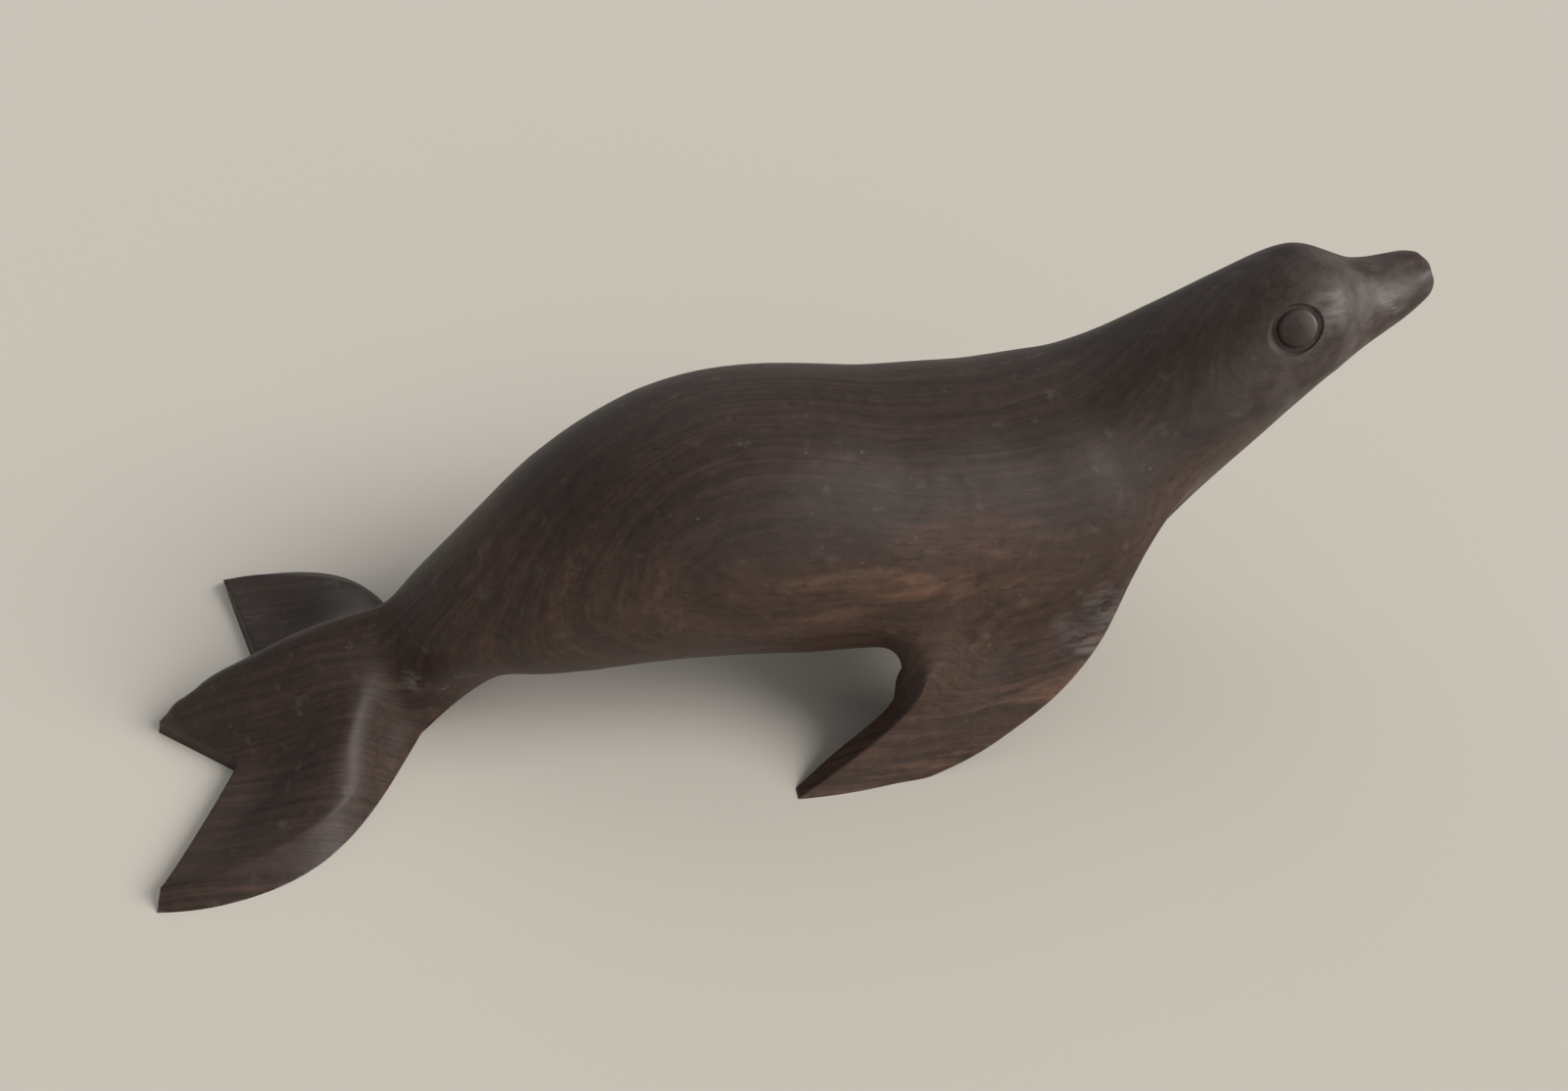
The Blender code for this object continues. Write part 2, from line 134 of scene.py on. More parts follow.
# How far the shoulder swells out over the front flipper, at each ring from the flipper's back to the neck,
# and how far the side above it swells out.
SHOULDER_FLARE = (1.4, 2.2, 2.4, 2.2, 0.4)
SHOULDER_SWELL = 0.5

# How far the front flipper's blade bows out, row by row downwards, at the fullest place between its edges.
FRONT_FULLNESS = (4.0, 4.2, 2.0, 0.0)

# The largest values of share * (1 - share) ** 2 and of share * (1 - share), for a share from 0 to 1.
LOPSIDED_PEAK = 4 / 27
EVEN_PEAK = 1 / 4

# Each eye is a round groove cut into the side of the head, with a disc left standing inside it. The raise is
# the angle above the widest line of the head, in degrees, and the eye lies a little before the head's ring.
# The flare is how far the groove's outer wall leans out on its way up to the surface, and the disc lies a
# little below the surface.
EYE_RAISE = 34.0
EYE_FORWARDS = 1.4
EYE_DIAMETER = 9.6
EYE_FLARE = 0.9
EYE_DISC_DIAMETER = 6.2
EYE_DISC_DEPTH = 0.5
EYE_GROOVE_DEPTH = 1.1
EYE_CUTTER_HEIGHT = 4.0
EYE_SIDES = 96

# The disc is a little domed: how much, and at which shares of its radius the dome has a ring of points. The
# rounding is how far the corners of the disc and of the groove's inner wall are cut off.
EYE_DOME = 0.35
EYE_DOME_SHARES = (0.2, 0.4, 0.6, 0.8, 0.92, 1.0)
EYE_ROUNDING = 0.22

# How sharp the carved edges stay when the skin is rounded: 1 is a knife edge and 0 is fully round.
CRISP = 1.0
TRAILING_CRISP = 0.8
RIM_CRISP = 0.75
RIM_END_CRISP = 0.2
ARMPIT_CRISP = 0.6

# Points round half of a ring, from the middle of the back to the middle of the belly. On the tail, two of
# them are the upper and the lower rim. On the body, the front flipper leaves just below the rim's place.
HALF_RING = 7
RIM = 3
FOOT = 4
SIDES = (-1, 1)

# How many times the skin is rounded, and how many times its cage is corrected before that.
SUBDIVISIONS = 4
FITTING_PASSES = 14

# How the surface was worked over, in metres: how far apart the marks are, and how deep. It stays flat up to
# the underside's height and is fully worked over from twice that height.
BROAD_MARKS = 0.011
BROAD_DEPTH = 0.00014
FINE_MARKS = 0.0028
FINE_DEPTH = 0.00003
UNDERSIDE = 0.0006

# The ridge is fuller near the tail's middle tip, in millimetres: how much, over what length and half width,
# and between which heights that comes in. The power makes the swelling start and end gently.
TIP_FULLNESS = 2.2
TIP_FULL_LENGTH = 10.0
TIP_FULL_HALF_WIDTH = 6.5
TIP_FULL_HEIGHTS = (1.8, 4.0)
TIP_SWELL_POWER = 1.5

# Edges sharper than this angle, in degrees, look like edges. All others look round.
SHARP_ANGLE = 38.0

# The growth layers of the wood are wide cylinders round the tree's pith, a line beyond the far side of the
# figurine and nearly along the body: a place on it and its turn in degrees. The layers bend and ripple: the
# scale of each noise, per metre, and how far it moves them, in metres.
PITH = (0.0, 0.052, 0.021)
PITH_TURN = (0.0, 3.0, -2.0)
BEND_SCALE = 7.0
BEND = 0.007
RIPPLE_SCALE = 90.0
RIPPLE = 0.0008
NOISE_MIDDLE = (0.5, 0.5, 0.5)

# Scales of the grain, per metre: along, through and round the growth layers.
LAYERS = (14.0, 1150.0, 18.0)
FIBRES = (60.0, 2600.0, 420.0)
STREAKS = (24.0, 330.0, 95.0)
PORES = (240.0, 2400.0, 1500.0)

# The wood is dark on the back and browner below a line along the flank: the line's height half way along the
# body, its slope and how softly it fades, in metres. The tail is dark up to where the brown comes in.
BROWN_LINE_HEIGHT = 0.048
BROWN_LINE_SLOPE = 0.05
BROWN_LINE_WIDTH = 0.007
BROWN_FROM = -0.082
BROWN_TO = -0.040

# Colours along the growth layers, from the darkest layer to the palest.
DARK_COLOURS = (
    (0.30, (0.020, 0.0118, 0.0086)),
    (0.50, (0.029, 0.0170, 0.0124)),
    (0.70, (0.040, 0.0228, 0.0165)),
)
BROWN_COLOURS = (
    (0.30, (0.032, 0.0185, 0.0132)),
    (0.50, (0.046, 0.0263, 0.0184)),
    (0.70, (0.063, 0.0345, 0.0235)),
)
RED_COLOUR = (0.064, 0.028, 0.019, 1.0)
GOLD_COLOUR = (0.105, 0.056, 0.035, 1.0)
PORE_COLOUR = (0.012, 0.008, 0.006, 1.0)
SPECK_COLOUR = (0.120, 0.098, 0.084, 1.0)
# The wear colour also paints the sheen on the head and the highlights beside the eye and on the snout.
WEAR_AND_SHEEN_COLOUR = (0.140, 0.120, 0.111, 1.0)

# Below, a noise is its scale per metre, its detail and its roughness. A band is the value where something
# starts to show and the value where it shows in full. A share is how much of its colour then covers the wood.
GRAIN_NOISE = (1.0, 4.0, 0.62)

# Reddish patches and golden streaks, both on the browner wood only. The chest has more gold than the rest.
RED_NOISE = (26.0, 3.0, 0.6)
RED_BAND = (0.50, 0.68)
RED_BACK_BAND = (1.0, 0.4)
RED_SHARE = 0.35
GOLD_BAND = (0.55, 0.70)
GOLD_BACK_BAND = (1.0, 0.2)
GOLD_SHARE = 0.40
CHEST_BAND = (-0.010, 0.030)
CHEST_GOLD_SHARE = 0.45

# Fine lines of the fibres and a fine mottle, which darken and lighten the colours, and dark pores.
FIBRE_TINTS = (
    (0.30, (0.74, 0.74, 0.75)),
    (0.70, (1.27, 1.24, 1.21)),
)
MOTTLE_NOISE = (420.0, 5.0, 0.75)
MOTTLE_TINTS = (
    (0.34, (0.78, 0.78, 0.78)),
    (0.66, (1.22, 1.22, 1.22)),
)
PORE_BAND = (0.56, 0.70)
PORE_SHARE = 0.6

# Pale specks stand in the middle of a few cells of a fine net, and dust lies in small patches.
SPECK_CELLS = 420.0
SPECK_BAND = (0.16, 0.05)
SPECK_CHOICE = (0.90, 0.94)
SPECK_SHARE = 0.5
DUST_NOISE = (260.0, 3.0, 0.5)
DUST_BAND = (0.60, 0.78)
DUST_SHARE = 0.35

# Wear on the edges: how sharply the surface turns there, and the patches where it is worn.
EDGE_BAND = (0.53, 0.60)
WORN_NOISE = (160.0, 4.0, 0.7)
WORN_BAND = (0.45, 0.62)
WORN_SHARE = 0.7

# The head is lighter and greyer, a painted sheen, more and more over this stretch of the body's length,
# in metres.
HEAD_BAND = (0.070, 0.100)
HEAD_SHEEN_NOISE = (150.0, 5.0, 0.7)
HEAD_SHEEN_BAND = (0.36, 0.66)
HEAD_SHEEN_SHARE = 0.34

# Whitish places: the middle of each and how far it reaches, in metres. Those near the front flipper's
# leading edge and at the tail's root are rubbed; the one beside the eye and the one on the snout are
# painted highlights. Fine scratches along the body break them all up.
SCUFFS_AND_HIGHLIGHTS = (
    ((0.0535, -0.0310, 0.0218), 0.0060),
    ((0.0496, -0.0296, 0.0261), 0.0045),
    ((0.0571, -0.0283, 0.0284), 0.0060),
    # A painted highlight, beside the eye.
    ((0.0954, -0.0097, 0.0750), 0.0055),
    ((-0.0681, -0.0095, 0.0145), 0.0042),
    # A painted highlight, on the snout.
    ((0.1097, -0.0066, 0.0719), 0.0045),
)
SCRATCH_STRETCH = (170.0, 900.0, 900.0)
SCRATCH_NOISE = (1.0, 3.0, 0.6)
SCRATCH_BAND = (0.36, 0.66)
SCUFF_AND_HIGHLIGHT_SHARE = 0.85

# The oiled surface: its gloss, which varies over the wood, and a slight relief of the grain, in metres.
SPECULAR = 0.30
SHEEN_NOISE = (34.0, 3.0, 0.6)
LEAST_ROUGHNESS = 0.44
MOST_ROUGHNESS = 0.58
RELIEF_SHARE = 0.5
RELIEF_STRENGTH = 0.35
RELIEF_DEPTH = 0.00025

FLOOR_COLOUR = (0.560, 0.525, 0.465, 1.0)
FLOOR_ROUGHNESS = 0.9
FLOOR_HALF_WIDTH = 3.0
WORLD_COLOUR = (0.97, 0.98, 1.0, 1.0)
WORLD_STRENGTH = 0.33

# Each light: where it shines from, how wide it looks in degrees, its strength and its tint.
LIGHTS = (
    ("window", (1.75, -0.75, 1.15), 34.0, 3.3, (1.0, 0.975, 0.94)),
    ("low_fill", (1.00, -1.80, 0.50), 60.0, 0.9, (1.0, 0.98, 0.96)),
    ("back_fill", (-0.20, 1.20, 1.50), 50.0, 0.35, (1.0, 0.98, 0.96)),
)

# The camera: where the photograph was taken from, in metres from the tail's tip, and where it looks, in
# degrees. The lens, the sensor's width and the nearest distance it sees follow, in millimetres and metres.
CAMERA_FROM_TAIL = 0.0914
CAMERA_SIDE = -0.15839
CAMERA_HEIGHT = 0.183
CAMERA_AZIMUTH = 11.14
CAMERA_ELEVATION = 44.0
CAMERA_LENS = 27.0
CAMERA_SENSOR = 36.0
CAMERA_NEAREST = 0.01


def half_ring(centre, forwards, half_height, half_width):
    """Points of a ring square to the body's line, from the back down to the belly, on the -Y side."""
    upwards = Vector((-forwards.z, 0, forwards.x))
    points = []
    for step in range(HALF_RING + 1):
        angle = math.pi * step / HALF_RING
        rise = upwards * half_height * math.cos(angle)
        points.append(centre + rise - Vector((0, half_width * math.sin(angle), 0)))
    return points


def body_rings():
    """Half rings along the body, and the point at the end of the nose."""
    centres = []
    length = 0
    for step, height, _, _ in BODY:
        length += step
        centres.append(Vector((length, 0, height)))
    nose_end = centres[-1] + Vector((NOSE_REACH, 0, NOSE_RISE))
    line = [Vector((STALK_FOOT_LENGTH, 0, STALK_EDGE_HEIGHT))] + centres + [nose_end]
    rings = []
    for place, (_, _, half_height, half_width) in enumerate(BODY):
        forwards = (line[place + 2] - line[place]).normalized()
        rings.append(half_ring(centres[place], forwards, half_height, half_width))
    first = BODY.index(FLIPPER_BACK)
    for place, flare in enumerate(SHOULDER_FLARE):
        rings[first + place][RIM + 1].y -= flare
        rings[first + place][RIM].y -= SHOULDER_SWELL
    return rings, nose_end


def between(a, b, share):
    return a + (b - a) * share


def right_side(length, half_width, height):
    return Vector((length, -half_width, height))


def stalk_ring():
    """The half ring where the body comes down onto the flat underside of the tail."""
    ridge = Vector((STALK_RIDGE_LENGTH, 0, STALK_RIDGE_HEIGHT))
    edge = right_side(STALK_EDGE_LENGTH, STALK_HALF_WIDTH, STALK_EDGE_HEIGHT)
    foot = right_side(STALK_FOOT_LENGTH, STALK_FOOT_HALF_WIDTH, 0)
    front = Vector((STANCE_LENGTH, 0, 0))
    points = [ridge]
    for step in range(1, RIM):
        share = step / RIM
        angle = math.pi / 2 * share
        length = between(ridge.x, edge.x, share)
        outwards = between(share, math.sin(angle), STALK_FULLNESS)
        upwards = between(1 - share, math.cos(angle), STALK_FULLNESS)
        points.append(Vector((length, edge.y * outwards, between(edge.z, ridge.z, upwards))))
    points += [edge, foot]
    under = HALF_RING - FOOT
    for step in range(1, under):
        angle = math.pi / 2 * step / under
        length = between(foot.x, front.x, math.sin(angle))
        points.append(Vector((length, foot.y * math.cos(angle), 0)))
    points.append(front)
    return points


def patch_point(near, far, first, last, across, along):
    """A point of a patch stretched between four edges.

    near and far lie on its lengthwise edges at this place. first and last are its two end edges, each given
    as its start, its end and its point at this place.
    """
    flat = between(between(first[0], first[1], across), between(last[0], last[1], across), along)
    return between(near, far, across) + between(first[2], last[2], along) - flat


def tail_rings(stalk):
    """Half rings of the tail, from the trailing edge to the stalk: a patch with a hollow pressed into it."""
    trailing = [Vector((TRAILING_SPREAD, 0, MIDDLE_TIP_HEIGHT)), right_side(*NOTCH)]
    trailing += [right_side(*TRAILING_MIDDLE), right_side(*HIND_TIP)]
    ridge = [trailing[0]] + [Vector((length, 0, height)) for length, height in RIDGE_LINE]
    rim = [trailing[RIM]] + [right_side(*point) for point in HIND_RIM]
    rows = []
    last = len(ridge)
    for row in range(last):
        along = row / last
        upper = []
        for column in range(RIM + 1):
            across = column / RIM
            first_edge = (trailing[0], trailing[RIM], trailing[column])
            last_edge = (stalk[0], stalk[RIM], stalk[column])
            point = patch_point(ridge[row], rim[row], first_edge, last_edge, across, along)
            point.z -= HOLLOW_DEPTH * hollow(along, across)
            upper.append(point)
        lower = []
        for column in range(FOOT, HALF_RING + 1):
            above = upper[HALF_RING - column]
            lower.append(Vector((above.x, above.y, 0)))
        if row == 0:
            for point in lower:
                point.x -= TRAILING_SPREAD
        foot_length, foot_half_width = HIND_FOOT[row]
        lower[0] = right_side(foot_length, foot_half_width, 0)
        lower[1] = between(lower[1], lower[0], UNDERSIDE_SPREAD)
        rows.append(upper + lower)
    return rows


def hollow(along, across):
    """How hollow the tail's top is: 0 on its edges and 1 in the deepest place, a third of the way along."""
    lengthwise = along * (1 - along) ** 2 / LOPSIDED_PEAK
    crosswise = across * (1 - across) / EVEN_PEAK
    return lengthwise * crosswise


class Skin:
    """Points and faces of the skin, with the edges that stay crisp."""

    def __init__(self):
        self.points = []
        self.faces = []
        self.crisp = {}

    def add(self, point):
        self.points.append(point.copy())
        return len(self.points) - 1

    def face(self, *corners):
        self.faces.append(corners)

    def crease(self, corners, sharpness):
        for a, b in zip(corners, corners[1:]):
            self.crisp[frozenset((a, b))] = sharpness


def mirrored(point, side):
    return Vector((point.x, -side * point.y, point.z))


def lay_rings(skin, rings):
    """Adds every ring's points for both sides. The middle of the back and of the belly are shared."""
    laid = {}
    for place, ring in enumerate(rings):
        for step, point in enumerate(ring):
            for side in SIDES:
                if step in (0, HALF_RING) and side == 1:
                    laid[place, step, side] = laid[place, step, -1]
                else:
                    laid[place, step, side] = skin.add(mirrored(point, -side))
    return laid


def quad(skin, side, a, b, c, d):
    """One face, with its corners turned round on the left side so that it still faces out."""
    if side == -1:
        skin.face(a, b, c, d)
    else:
        skin.face(d, c, b, a)


def join_rings(skin, laid, count, first, last):
    """Faces between neighbouring rings, open where the front flippers leave the body."""
    for place in range(count - 1):
        for step in range(HALF_RING):
            if first <= place < last and step == RIM + 1:
                continue
            for side in SIDES:
                corners = [laid[place, step, side], laid[place + 1, step, side]]
                corners += [laid[place + 1, step + 1, side], laid[place, step + 1, side]]
                quad(skin, side, *corners)


def close_tail(skin, laid):
    """The trailing edge, from the middle tip to the tip of each hind flipper."""
    for side in SIDES:
        for step in range(RIM):
            under = HALF_RING - step
            corners = [laid[0, step, side], laid[0, step + 1, side]]
            corners += [laid[0, under - 1, side], laid[0, under, side]]
            quad(skin, side, *corners)


def close_nose(skin, laid, place, nose_end):
    tip = skin.add(nose_end)
    for side in SIDES:
        for step in range(0, HALF_RING - 1, 2):
            corners = [laid[place, step, side], tip]
            corners += [laid[place, step + 2, side], laid[place, step + 1, side]]
            quad(skin, side, *corners)
    under = HALF_RING - 1
    skin.face(laid[place, under, -1], tip, laid[place, under, 1], laid[place, HALF_RING, 1])


def blade_points(root):
    """Rows of the front flipper's outer and inner face, on the -Y side, down from the root to the ground."""
    ground = [right_side(*point) for point in (FRONT_TIP, *FRONT_GROUND, FRONT_HEEL)]
    trailing = [right_side(*point) for point in FRONT_TRAILING] + [ground[0]]
    leading = [right_side(*point) for point in FRONT_LEADING] + [ground[-1]]
    lean = math.radians(FRONT_LEAN)
    square_in = Vector((0, math.cos(lean), -math.sin(lean)))
    first = len(ground) - 1
    outer = []
    inner = []
    for row, (back, front) in enumerate(zip(trailing, leading)):
        down = (row + 1) / len(trailing)
        outer_row = []
        inner_row = []
        for column, (above, below) in enumerate(zip(root, ground)):
            across = column / first
            root_edge = (root[0], root[-1], above)
            ground_edge = (ground[0], ground[-1], below)
            point = patch_point(back, front, root_edge, ground_edge, across, down)
            point.y -= FRONT_FULLNESS[row] * across ** 2 * (1 - across) / LOPSIDED_PEAK
            outer_row.append(point)
            if row == len(FRONT_THICKNESS):
                inner_row.append(point + Vector((0, FRONT_FOOT_THICKNESS, 0)))
            elif column == 0:
                inner_row.append(right_side(*FRONT_ARMPIT[row]))
            else:
                inner_row.append(point + square_in * FRONT_THICKNESS[row])
        outer.append(outer_row)
        inner.append(inner_row)
    return outer, inner


def front_flipper(skin, laid, side, first, last):
    """The blade: an outer and an inner face, a leading and a trailing edge, and a foot on the ground."""
    outer = [[laid[place, RIM + 1, side] for place in range(first, last + 1)]]
    inner = [[laid[place, RIM + 2, side] for place in range(first, last + 1)]]
    root = [skin.points[laid[place, RIM + 1, -1]] for place in range(first, last + 1)]
    outer_points, inner_points = blade_points(root)
    for outer_row, inner_row in zip(outer_points, inner_points):
        outer.append([skin.add(mirrored(point, -side)) for point in outer_row])
        inner.append([skin.add(mirrored(point, -side)) for point in inner_row])
    for row in range(len(outer) - 1):
        for column in range(last - first):
            a, b = outer[row][column], outer[row][column + 1]
            c, d = outer[row + 1][column + 1], outer[row + 1][column]
            quad(skin, side, a, b, c, d)
            a, b = inner[row][column], inner[row][column + 1]
            c, d = inner[row + 1][column + 1], inner[row + 1][column]
            quad(skin, side, d, c, b, a)
        quad(skin, side, outer[row][0], outer[row + 1][0], inner[row + 1][0], inner[row][0])
        quad(skin, side, outer[row][-1], inner[row][-1], inner[row + 1][-1], outer[row + 1][-1])
    outer_foot = outer[-1]
    inner_foot = inner[-1]
    for column in range(last - first):
        a, b = outer_foot[column], outer_foot[column + 1]
        c, d = inner_foot[column + 1], inner_foot[column]
        quad(skin, side, a, b, c, d)
    for face in (outer, inner):
        skin.crease([row[0] for row in face[1:3]], ARMPIT_CRISP)
        skin.crease([row[0] for row in face[2:]], TRAILING_CRISP)
        skin.crease(face[-1], CRISP)
    skin.crease([outer_foot[0], inner_foot[0]], CRISP)
    skin.crease([outer_foot[-1], inner_foot[-1]], CRISP)


def crisp_tail(skin, laid, stalk):
    """Keeps the tail's rim, foot and trailing edge crisp, with corners at the three tips and two notches."""
    for side in SIDES:
        rim = [laid[place, RIM, side] for place in range(stalk)]
        foot = [laid[place, FOOT, side] for place in range(stalk + 1)]
        skin.crease(rim, RIM_CRISP)
        for step in (HALF_RING, HALF_RING - 1):
            skin.crease([laid[place, step, side] for place in range(stalk)], CRISP)
        skin.crease([rim[-1], laid[stalk, RIM, side]], RIM_END_CRISP)
        skin.crease(foot, CRISP)
        skin.crease([laid[stalk, step, side] for step in range(FOOT, HALF_RING + 1)], CRISP)
        skin.crease([laid[0, step, side] for step in range(RIM + 1)], TRAILING_CRISP)
        skin.crease([laid[0, step, side] for step in range(FOOT, HALF_RING + 1)], CRISP)
        for step in (0, 1, RIM):
            skin.crease([laid[0, step, side], laid[0, HALF_RING - step, side]], CRISP)


def limit_points(cage, skin):
    """Where a subdivision surface puts each point of the cage, by its usual weights. A corner stays put."""
    neighbours = [set() for _ in cage]
    opposite = [[] for _ in cage]
    for corners in skin.faces:
        for turn, corner in enumerate(corners):
            neighbours[corner].add(corners[turn - 1])
            neighbours[corner].add(corners[(turn + 1) % 4])
            opposite[corner].append(corners[(turn + 2) % 4])
    found = []
    for place, point in enumerate(cage):
        near = neighbours[place]
        crisp = [other for other in near if frozenset((place, other)) in skin.crisp]
        if len(crisp) > 2:
            found.append(point.copy())
        elif len(crisp) == 2:
            found.append((4 * point + cage[crisp[0]] + cage[crisp[1]]) / 6)
        else:
            count = len(near)
            total = count * count * point
            for other in near:
                total = total + 4 * cage[other]
            for other in opposite[place]:
                total = total + cage[other]
            found.append(total / (count * (count + 5)))
    return found


def fitted_cage(skin):
    """Moves the cage until the smooth surface passes through the skin's own points."""
    cage = [point.copy() for point in skin.points]
    for _ in range(FITTING_PASSES):
        reached = limit_points(cage, skin)
        for place, target in enumerate(skin.points):
            cage[place] += target - reached[place]
    return cage


def seal_skin():
    rings, nose_end = body_rings()
    stalk = stalk_ring()
    tail = tail_rings(stalk)
    every_ring = tail + [stalk] + rings
    flipper_back = every_ring.index(rings[BODY.index(FLIPPER_BACK)])
    flipper_front = every_ring.index(rings[BODY.index(NECK)])
    skin = Skin()
    laid = lay_rings(skin, every_ring)
    join_rings(skin, laid, len(every_ring), flipper_back, flipper_front)
    close_tail(skin, laid)
    close_nose(skin, laid, len(every_ring) - 1, nose_end)
    crisp_tail(skin, laid, len(tail))
    for side in SIDES:
        front_flipper(skin, laid, side, flipper_back, flipper_front)
    return skin


def link(thing):
    bpy.context.scene.collection.objects.link(thing)
    return thing


def eye_cutter(name):
    """A closed turned shape round the Z axis: it sinks the disc and cuts the groove round it."""
    mesh = bpy.data.meshes.new(name)
    shape = bmesh.new()
    disc_radius = EYE_DISC_DIAMETER / 2
    floor_radius = EYE_DIAMETER / 2 - EYE_FLARE
    top_radius = floor_radius + EYE_FLARE * (1 + EYE_CUTTER_HEIGHT / EYE_GROOVE_DEPTH)
    disc_edge = disc_radius - EYE_ROUNDING
    profile = []
    for share in EYE_DOME_SHARES:
        profile.append((disc_edge * share, EYE_DOME * (1 - share ** 2) - EYE_DISC_DEPTH))
    profile.append((disc_radius, -EYE_DISC_DEPTH - EYE_ROUNDING))
    profile.append((disc_radius, EYE_ROUNDING - EYE_GROOVE_DEPTH))
    profile.append((disc_radius + EYE_ROUNDING, -EYE_GROOVE_DEPTH))
    profile.append((floor_radius, -EYE_GROOVE_DEPTH))
    profile.append((top_radius, EYE_CUTTER_HEIGHT))
    loops = []
    for radius, level in profile:
        loop = []
        for turn in range(EYE_SIDES):
            angle = 2 * math.pi * turn / EYE_SIDES
            point = Vector((radius * math.cos(angle), radius * math.sin(angle), level))
            loop.append(shape.verts.new(point * MM))
        loops.append(loop)
    for lower, upper in zip(loops, loops[1:]):
        for turn in range(EYE_SIDES):
            after = (turn + 1) % EYE_SIDES
            shape.faces.new((lower[turn], lower[after], upper[after], upper[turn]))
    shape.faces.new(loops[0])
    shape.faces.new(loops[-1])
    bmesh.ops.recalc_face_normals(shape, faces=shape.faces)
    shape.to_mesh(mesh)
    shape.free()
    return link(bpy.data.objects.new(name, mesh))


def evaluated_tree(seal):
    bpy.context.view_layer.update()
    return BVHTree.FromObject(seal, bpy.context.evaluated_depsgraph_get())


def cut_eyes(seal, origin):
    """Cuts the groove of each eye where a line from the middle of the head, square to it, meets the skin."""
    rings, _ = body_rings()
    head = rings[BODY.index(HEAD)]
    centre = (head[0] + head[HALF_RING]) / 2
    upwards = (head[0] - centre).normalized()
    centre += Vector((upwards.z, 0, -upwards.x)) * EYE_FORWARDS
    raised = math.radians(EYE_RAISE)
    tree = evaluated_tree(seal)
    for side, name in ((-1, "right_eye_cutter"), (1, "left_eye_cutter")):
        facing = Vector((0, side, 0)) * math.cos(raised) + upwards * math.sin(raised)
        surface, _, _, _ = tree.ray_cast((centre - origin) * MM, facing)
        cutter = eye_cutter(name)
        turned = facing.to_track_quat("Z", "Y").to_matrix().to_4x4()
        cutter.matrix_world = Matrix.Translation(surface) @ turned
        cut = seal.modifiers.new(name, "BOOLEAN")
        cut.operation = "DIFFERENCE"
        cut.solver = "EXACT"
        cut.object = cutter


def finished_mesh(thing):
    """A new mesh of the object as its modifiers leave it."""
    bpy.context.view_layer.update()
    graph = bpy.context.evaluated_depsgraph_get()
    return bpy.data.meshes.new_from_object(thing.evaluated_get(graph), depsgraph=graph)


def rounded_skin():
    """The skin as an object in metres, finely rounded, with its box's back end where the CAD node's is."""
    skin = seal_skin()
    mesh = bpy.data.meshes.new("seal")
    mesh.from_pydata([point * MM for point in fitted_cage(skin)], [], skin.faces)
    shaped = bmesh.new()
    shaped.from_mesh(mesh)
    crease = shaped.edges.layers.float.new("crease_edge")
    for edge in shaped.edges:
        ends = frozenset(vertex.index for vertex in edge.verts)
        edge[crease] = skin.crisp.get(ends, 0)
    bmesh.ops.recalc_face_normals(shaped, faces=shaped.faces)
    shaped.to_mesh(mesh)
    shaped.free()
    piece = link(bpy.data.objects.new("carved_seal", mesh))
    rounding = piece.modifiers.new("rounding", "SUBSURF")
    rounding.levels = SUBDIVISIONS
    rounding.render_levels = SUBDIVISIONS
    piece.data = finished_mesh(piece)
    piece.modifiers.clear()
    piece.data.transform(Matrix.Translation((cad_box[0][0], 0, 0)))
    return piece


def fill_tip(mesh):
    """Makes the ridge swell upwards near the tail's middle tip. The thin edges and the underside stay."""
    low, high = TIP_FULL_HEIGHTS
    for vertex in mesh.vertices:
        along = (vertex.co.x - cad_box[0][0]) / MM / TIP_FULL_LENGTH
        across = vertex.co.y / MM / TIP_FULL_HALF_WIDTH
        if not 0 < along < 1 or abs(across) >= 1:
            continue
        swell = math.sin(math.pi * along) ** TIP_SWELL_POWER * (1 - across ** 2) ** 2
        share = min(1, max(0, (vertex.co.z / MM - low) / (high - low)))
        vertex.co.z += TIP_FULLNESS * swell * share * MM


def work_over(mesh):
    """Leaves the surface a little uneven, as rasp and sandpaper do. The flat underside stays flat."""
    moves = []
    for vertex in mesh.vertices:
        broad = noise.noise(vertex.co / BROAD_MARKS) * BROAD_DEPTH
        fine = noise.noise(vertex.co / FINE_MARKS) * FINE_DEPTH
        lifted = min(1, max(0, vertex.co.z / UNDERSIDE - 1))
        moves.append(vertex.normal * (broad + fine) * lifted)
    for vertex, move in zip(mesh.vertices, moves):
        vertex.co += move


def carved_seal():
    piece = rounded_skin()
    fill_tip(piece.data)
    work_over(piece.data)
    cut_eyes(piece, Vector((-cad_box[0][0] / MM, 0, 0)))
    piece.data = finished_mesh(piece)
    for cut in list(piece.modifiers):
        bpy.data.objects.remove(cut.object)
    piece.modifiers.clear()
    piece.data.shade_smooth()
    piece.data.set_sharp_from_angle(angle=math.radians(SHARP_ANGLE))
    piece.data.materials.clear()
    piece.data.materials.append(oiled_wood())
    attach(piece, "root")
    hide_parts("seal_carving")


